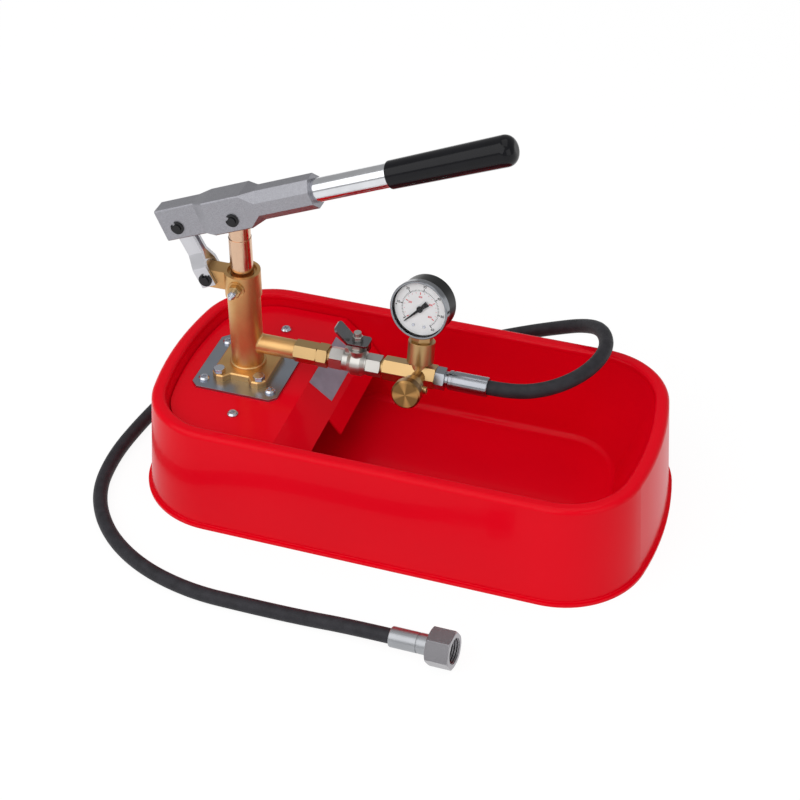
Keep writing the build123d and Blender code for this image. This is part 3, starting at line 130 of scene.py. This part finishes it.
class Finish:
    """A node material under construction."""

    def __init__(self, name, color, metallic=0.0, roughness=0.5):
        self.material = bpy.data.materials.new(name)
        self.material.use_nodes = True
        self.tree = self.material.node_tree
        self.shader = self.tree.nodes["Principled BSDF"]
        self.color = color
        self.shader.inputs["Base Color"].default_value = (*color, 1)
        self.shader.inputs["Metallic"].default_value = metallic
        self.shader.inputs["Roughness"].default_value = roughness

    def node(self, kind, **values):
        made = self.tree.nodes.new(kind)
        for key, value in values.items():
            setattr(made, key, value)
        return made

    def link(self, source, target):
        self.tree.links.new(source, target)

    def place(self, stretch=(1, 1, 1), turn=(0, 0, 0), shift=(0, 0, 0)):
        """The object's own coordinates, turned and stretched."""
        coordinates = self.node("ShaderNodeTexCoord")
        mapping = self.node("ShaderNodeMapping", vector_type="TEXTURE")
        mapping.inputs["Location"].default_value = shift
        mapping.inputs["Rotation"].default_value = [radians(t) for t in turn]
        mapping.inputs["Scale"].default_value = stretch
        self.link(coordinates.outputs["Object"], mapping.inputs["Vector"])
        return mapping.outputs["Vector"]

    def noise(self, scale, detail=3, where=None):
        made = self.node("ShaderNodeTexNoise")
        made.inputs["Scale"].default_value = scale
        made.inputs["Detail"].default_value = detail
        self.link(where or self.place(), made.inputs["Vector"])
        return made.outputs["Fac"]

    def ramp(self, source, low, high, start=0.3, end=0.7):
        """Colours or grey levels between two values of a source."""
        made = self.node("ShaderNodeValToRGB")
        points = made.color_ramp.elements
        points[0].position = start
        points[1].position = end
        points[0].color = (*low, 1)
        points[1].color = (*high, 1)
        self.link(source, made.inputs["Fac"])
        return made.outputs["Color"]

    def shade(self, source, spread, start=0.3, end=0.7):
        """Lets the base colour vary a little with a source."""
        low = [c * (1 - spread) for c in self.color]
        high = [min(1, c * (1 + spread)) for c in self.color]
        self.link(self.ramp(source, low, high, start, end), self.shader.inputs["Base Color"])

    def gloss(self, source, low, high):
        """Lets the roughness vary between two values."""
        self.link(self.ramp(source, (low,) * 3, (high,) * 3), self.shader.inputs["Roughness"])

    def bump(self, source, height, strength=1.0, normal=None):
        made = self.node("ShaderNodeBump")
        made.inputs["Strength"].default_value = strength
        made.inputs["Distance"].default_value = height
        self.link(source, made.inputs["Height"])
        if normal:
            self.link(normal, made.inputs["Normal"])
        self.link(made.outputs["Normal"], self.shader.inputs["Normal"])

    def rounded(self, radius):
        """Normals that round the piece's edges a little."""
        made = self.node("ShaderNodeBevel", samples=4)
        made.inputs["Radius"].default_value = radius
        return made.outputs["Normal"]

    def soften(self, radius):
        self.link(self.rounded(radius), self.shader.inputs["Normal"])

    def coat(self, weight, roughness):
        self.shader.inputs["Coat Weight"].default_value = weight
        self.shader.inputs["Coat Roughness"].default_value = roughness


def red_paint():
    """Glossy baked enamel."""
    made = Finish("red_paint", (0.77, 0.0, 0.010), roughness=0.28)
    made.shader.inputs["Specular IOR Level"].default_value = 0.06
    made.shade(made.noise(9, 2), 0.025)
    made.coat(0.09, 0.05)
    return made.material


def cast_brass():
    """Sand cast and tumbled brass with a soft sheen."""
    made = Finish("cast_brass", (0.66, 0.40, 0.165), metallic=1.0, roughness=0.42)
    made.shade(made.noise(40, 2), 0.1)
    grain = made.noise(650, 4)
    made.gloss(grain, 0.38, 0.46)
    made.bump(grain, 0.025 * MM, 0.35)
    return made.material


def turned_brass():
    """Machined brass bar with faint clouds."""
    made = Finish("turned_brass", (0.52, 0.345, 0.16), metallic=1.0, roughness=0.33)
    made.shade(made.noise(40, 1), 0.06)
    made.gloss(made.noise(60, 1), 0.31, 0.36)
    made.soften(0.35 * MM)
    return made.material


def copper_rod():
    made = Finish("copper_rod", (0.68, 0.46, 0.32), metallic=1.0, roughness=0.2)
    made.shade(made.noise(200, 3, made.place(stretch=(1, 1, 12))), 0.06)
    made.gloss(made.noise(300, 3), 0.16, 0.26)
    return made.material


def metal(name, color, roughness, spread=0.05, edge=0.3 * MM):
    """Plated or plain steel with faint clouds and slightly rounded edges."""
    made = Finish(name, color, metallic=1.0, roughness=roughness)
    made.shade(made.noise(50, 1), spread)
    made.gloss(made.noise(70, 1), roughness - 0.02, roughness + 0.02)
    made.soften(edge)
    return made.material


def cast_aluminium():
    """Die cast and tumbled: smooth but dull, with fine speckles."""
    made = Finish("cast_aluminium", (0.35, 0.35, 0.38), metallic=0.9, roughness=0.42)
    speckle = made.noise(2600, 3)
    made.shade(speckle, 0.16, 0.38, 0.62)
    made.gloss(made.noise(350, 3), 0.38, 0.47)
    made.bump(speckle, 0.02 * MM, 0.35, made.rounded(0.5 * MM))
    return made.material


def polished_steel():
    """Bright drawn tube with faint lengthwise lines."""
    made = Finish("polished_steel", (0.72, 0.73, 0.76), metallic=1.0, roughness=0.15)
    along = made.place(stretch=(30, 1, 1), turn=(0, -22.5, 0))
    made.gloss(made.noise(900, 3, along), 0.11, 0.2)
    made.shade(made.noise(90, 3), 0.05)
    return made.material


def plastic(name, color, roughness, grain=900, height=0.02 * MM, specular=0.5):
    made = Finish(name, color, roughness=roughness)
    made.shader.inputs["Specular IOR Level"].default_value = specular
    made.shade(made.noise(120, 3), 0.12)
    made.bump(made.noise(grain, 2), height, 0.3)
    return made.material


def hose_rubber():
    """Black rubber, dull, with the faint weave of its curing wrap."""
    made = Finish("hose_rubber", (0.024, 0.023, 0.028), roughness=0.58)
    made.shader.inputs["Specular IOR Level"].default_value = 0.25
    made.shade(made.noise(160, 4), 0.25)
    made.gloss(made.noise(700, 3), 0.5, 0.65)
    made.bump(made.noise(2600, 2), 0.05 * MM, 0.4)
    return made.material


def clear_lens():
    made = Finish("clear_lens", (1, 1, 1), roughness=0.02)
    made.shader.inputs["Transmission Weight"].default_value = 1
    made.shader.inputs["IOR"].default_value = 1.1
    return made.material


def dial_white():
    made = Finish("dial_white", (0.84, 0.84, 0.85), roughness=0.5)
    made.shade(made.noise(300, 3), 0.015)
    return made.material


def knob_place(made):
    """Coordinates whose Z runs along the drain knob's axis, out of the tee block."""
    return made.place(shift=(drain_x, 0, outlet_z), turn=(90 - tee_lean, 0, 0))


def knob_brass():
    """Brass knob with a painted highlight: its base colour swings lighter and darker in fan-shaped bands
    round its axis, in place of the light its turned face throws back.
    """
    made = Finish("knob_brass", (0.34, 0.185, 0.065), metallic=1.0, roughness=0.3)
    axes = made.node("ShaderNodeSeparateXYZ")
    made.link(knob_place(made), axes.inputs["Vector"])
    angle = made.node("ShaderNodeMath", operation="ARCTAN2")
    made.link(axes.outputs["Y"], angle.inputs[0])
    made.link(axes.outputs["X"], angle.inputs[1])
    turns = made.node("ShaderNodeMath", operation="MULTIPLY_ADD")
    turns.inputs[1].default_value = knob_highlight_bands
    turns.inputs[2].default_value = knob_highlight_start
    made.link(angle.outputs["Value"], turns.inputs[0])
    wave = made.node("ShaderNodeMath", operation="SINE")
    made.link(turns.outputs["Value"], wave.inputs[0])
    # Painted highlight: the base colour follows the sine of the angle round the knob's axis.
    made.shade(wave.outputs["Value"], 0.38, 0.0, 1.0)
    made.soften(0.4 * MM)
    return made.material


def threaded_zinc():
    """The union nut's plating, with the lines of its thread inside the mouth."""
    made = Finish("threaded_zinc", (0.34, 0.33, 0.35), metallic=1.0, roughness=0.27)
    made.shade(made.noise(50, 1), 0.06)
    axes = made.node("ShaderNodeSeparateXYZ")
    along = made.place(shift=hose_route_end, turn=(0, -fitting_pitch, fitting_yaw))
    made.link(along, axes.inputs["Vector"])
    across = made.node("ShaderNodeCombineXYZ")
    made.link(axes.outputs["Y"], across.inputs["Y"])
    made.link(axes.outputs["Z"], across.inputs["Z"])
    radius = made.node("ShaderNodeVectorMath", operation="LENGTH")
    made.link(across.outputs["Vector"], radius.inputs[0])
    inside = made.node("ShaderNodeMath", operation="LESS_THAN")
    inside.inputs[1].default_value = thread_radius
    made.link(radius.outputs["Value"], inside.inputs[0])
    turns = made.node("ShaderNodeMath", operation="MULTIPLY")
    turns.inputs[1].default_value = 2 * pi / thread_pitch
    made.link(axes.outputs["X"], turns.inputs[0])
    wave = made.node("ShaderNodeMath", operation="SINE")
    made.link(turns.outputs["Value"], wave.inputs[0])
    thread = made.node("ShaderNodeMath", operation="MULTIPLY")
    made.link(wave.outputs["Value"], thread.inputs[0])
    made.link(inside.outputs["Value"], thread.inputs[1])
    made.bump(thread.outputs["Value"], 0.6 * MM, 1.0, made.rounded(0.4 * MM))
    return made.material


def dress(node, material):
    """Gives a carried-over CAD piece its finish."""
    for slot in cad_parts[node].material_slots:
        slot.material = material


def make_materials():
    looks = {
        red_paint(): ["tank_skirt", "tank_trough", "pump_deck", "deck_posts"],
        metal("zinc_plate", (0.32, 0.35, 0.40), 0.32): ["mounting_plate"],
        metal("zinc_screws", (0.58, 0.60, 0.66), 0.22): [
            "deck_screws", "plate_screws", "foot_bolts", "deck_nuts", "grease_nipple", "check_springs",
            "dial_screws",
        ],
        metal("zinc_straps", (0.60, 0.60, 0.63), 0.3): [
            "link_strap_front", "link_strap_rear", "link_spacer",
        ],
        metal("bright_zinc", (0.33, 0.34, 0.37), 0.22): ["hose_nipple", "near_ferrule"],
        metal("zinc_fittings", (0.38, 0.39, 0.41), 0.36): ["far_ferrule", "hose_tail", "suction_strainer"],
        threaded_zinc(): ["union_nut"],
        cast_brass(): ["pump_foot", "pump_cylinder", "cylinder_head"],
        turned_brass(): [
            "grease_hex", "outlet_adapter", "outlet_union", "tee_block", "gauge_stem", "suction_valve",
            "suction_tube", "gauge_movement",
        ],
        knob_brass(): ["drain_knob"],
        copper_rod(): ["piston_rod"],
        metal("nickel", (0.52, 0.505, 0.48), 0.36): [
            "valve_body", "packing_nut", "valve_lever_nut", "valve_stem", "valve_ball",
            "drain_spindle", "delivery_ball", "suction_ball",
        ],
        metal("dark_steel", (0.19, 0.19, 0.20), 0.25): ["valve_lever"],
        cast_aluminium(): ["lever_head"],
        polished_steel(): ["lever_tube"],
        metal("bezel_steel", (0.26, 0.27, 0.29), 0.16, edge=0.15 * MM): ["gauge_bezel"],
        plastic("black_vinyl", (0.006, 0.006, 0.008), 0.15, 60, 0.03 * MM, 0.2): ["lever_grip"],
        plastic("black_steel", (0.009, 0.009, 0.011), 0.35, specular=0.3): [
            "link_pin", "piston_pin", "lever_clips", "lug_pin", "lug_clips", "gauge_needle",
        ],
        plastic("black_enamel", (0.005, 0.005, 0.006), 0.3, specular=0.2): ["gauge_case"],
        clear_lens(): ["gauge_lens"],
        dial_white(): ["gauge_dial"],
        plastic("grey_label", (0.29, 0.27, 0.34), 0.4): ["rating_label"],
        plastic("seal_rubber", (0.02, 0.02, 0.02), 0.6): ["gland_seal"],
        plastic("seal_fibre", (0.09, 0.085, 0.08), 0.6): ["union_washer"],
    }
    for material, nodes in looks.items():
        for node in nodes:
            dress(node, material)


def dial_matrix():
    """From the dial's own axes (X right, Y up, Z out of its face) to the scene."""
    foot = Matrix.Translation((gauge_x, 0, outlet_z)) @ Matrix.Rotation(radians(-tee_lean), 4, "X")
    middle = foot @ Matrix.Translation((0, 0, gauge_rise)) @ Matrix.Rotation(radians(-gauge_yaw), 4, "Z")
    return middle @ Matrix.Rotation(radians(90), 4, "X") @ Matrix.Translation((0, 0, dial_face))


def add_tick(mesh, angle, start, end, width):
    """A thin bar of ink between two radii."""
    out = Vector((cos(angle), sin(angle), 0))
    place = Matrix.Translation(out * (start + end) / 2) @ Matrix.Rotation(angle, 4, "Z")
    size = Matrix.Diagonal((end - start, width, 2 * ink_height, 1))
    bmesh.ops.create_cube(mesh, size=1, matrix=place @ size)


def add_number(mesh, value, angle, radius, size):
    """A number set upright on the dial, with its middle at a radius."""
    text = bpy.data.curves.new("number", "FONT")
    text.body = str(value)
    text.size = size
    text.extrude = ink_height
    text.offset = ink_spread
    text.align_x = "CENTER"
    text.align_y = "CENTER"
    holder = bpy.data.objects.new("number", text)
    letters = bpy.data.meshes.new_from_object(holder)
    letters.transform(Matrix.Translation((radius * cos(angle), radius * sin(angle), 0)))
    mesh.from_mesh(letters)
    bpy.data.objects.remove(holder)
    bpy.data.meshes.remove(letters)
    bpy.data.curves.remove(text)


def finish_print(name, mesh, material):
    """Turns ink on the dial into a piece of the pump."""
    bmesh.ops.remove_doubles(mesh, verts=mesh.verts, dist=0.1 * ink_height)
    data = bpy.data.meshes.new(name)
    mesh.to_mesh(data)
    mesh.free()
    data.materials.append(material)
    piece = bpy.data.objects.new(name, data)
    piece.matrix_world = dial_matrix()
    bpy.context.scene.collection.objects.link(piece)
    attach(piece, "pump")


def scale_angle(share):
    return radians(scale_start - share * scale_sweep)


def make_dial():
    """A plain outer scale in black and an inner one in red."""
    black = bmesh.new()
    for step in range(black_divisions + 1):
        major = step % black_minor == 0
        end = major_tick_end if major else tick_end
        width = major_tick_width if major else tick_width
        add_tick(black, scale_angle(step / black_divisions), tick_start, end, width)
    for value in range(black_step, black_top + 1, black_step):
        add_number(black, value, scale_angle(value / black_top), number_radius, number_size)
    add_tick(black, pi, mark_start, mark_end, mark_width)
    finish_print("dial_black_print", black, plastic("black_ink", (0.012, 0.012, 0.014), 0.45))
    red = bmesh.new()
    for value in range(0, red_top + 1, red_minor):
        major = value % red_step == 0
        start = red_major_start if major else red_tick_start
        width = red_major_width if major else red_tick_width
        add_tick(red, scale_angle(value / red_full), start, red_tick_end, width)
    for value in range(red_step, red_top + 1, red_step):
        add_number(red, value, scale_angle(value / red_full), red_number_radius, red_number_size)
    finish_print("dial_red_print", red, plastic("red_ink", (0.60, 0.02, 0.03), 0.45))


def make_hose():
    curve = bpy.data.curves.new("test_hose", "CURVE")
    curve.dimensions = "3D"
    spline = curve.splines.new("NURBS")
    spline.points.add(len(hose_route) - 1)
    for point, place in zip(spline.points, hose_route):
        point.co = (*[c * MM for c in place], 1)
    spline.order_u = 3
    spline.use_endpoint_u = True
    spline.resolution_u = 16
    curve.bevel_depth = hose_diameter / 2
    curve.bevel_resolution = 8
    hose = bpy.data.objects.new("test_hose", curve)
    bpy.context.scene.collection.objects.link(hose)
    curve.materials.append(hose_rubber())
    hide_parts("hose_tube")
    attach(hose, "pump")


def make_floor():
    """White floor that keeps a faint shadow, as in a cut-out product picture."""
    bpy.ops.mesh.primitive_plane_add(size=floor_size, location=(0, 0, 0))
    floor = bpy.context.object
    floor.name = "floor"
    made = Finish("floor_white", (0.86, 0.86, 0.86), roughness=0.8)
    rays = made.node("ShaderNodeLightPath")
    direct = made.node("ShaderNodeMath", operation="ADD", use_clamp=True)
    made.link(rays.outputs["Is Camera Ray"], direct.inputs[0])
    made.link(rays.outputs["Is Transmission Ray"], direct.inputs[1])
    seen = made.node("ShaderNodeMath", operation="ADD", use_clamp=True)
    made.link(direct.outputs["Value"], seen.inputs[0])
    made.link(rays.outputs["Is Glossy Ray"], seen.inputs[1])
    share = made.node("ShaderNodeMath", operation="MULTIPLY")
    share.inputs[1].default_value = floor_share
    made.link(seen.outputs["Value"], share.inputs[0])
    glow = made.node("ShaderNodeEmission")
    glow.inputs["Strength"].default_value = floor_glow
    mix = made.node("ShaderNodeMixShader")
    made.link(share.outputs["Value"], mix.inputs["Fac"])
    made.link(made.shader.outputs["BSDF"], mix.inputs[1])
    made.link(glow.outputs["Emission"], mix.inputs[2])
    output = made.tree.nodes["Material Output"]
    made.link(mix.outputs["Shader"], output.inputs["Surface"])
    floor.data.materials.append(made.material)


def area_light(name, place, target, size, power):
    data = bpy.data.lights.new(name, "AREA")
    data.shape = "RECTANGLE"
    data.size, data.size_y = size
    data.energy = power
    light = bpy.data.objects.new(name, data)
    bpy.context.scene.collection.objects.link(light)
    aim = (Vector(target) - Vector(place)).to_track_quat("-Z", "Y")
    light.matrix_world = Matrix.Translation(place) @ aim.to_matrix().to_4x4()


def make_lights():
    middle = (0, 0, 0.08)
    area_light("key", (-0.9, -1.5, 1.6), middle, (3.2, 2.4), 34)
    area_light("fill", (1.6, -0.9, 0.9), middle, (1.4, 1.2), 5)
    area_light("top", (0.2, 0.1, 2.0), middle, (1.8, 1.4), 7)
    world = bpy.data.worlds.new("studio")
    bpy.context.scene.world = world
    world.use_nodes = True
    world.node_tree.nodes["Background"].inputs["Color"].default_value = (1, 1, 1, 1)
    world.node_tree.nodes["Background"].inputs["Strength"].default_value = 0.42
    bpy.context.scene.view_settings.view_transform = "Standard"


make_camera()
make_hose()
make_materials()
make_dial()
make_floor()
make_lights()
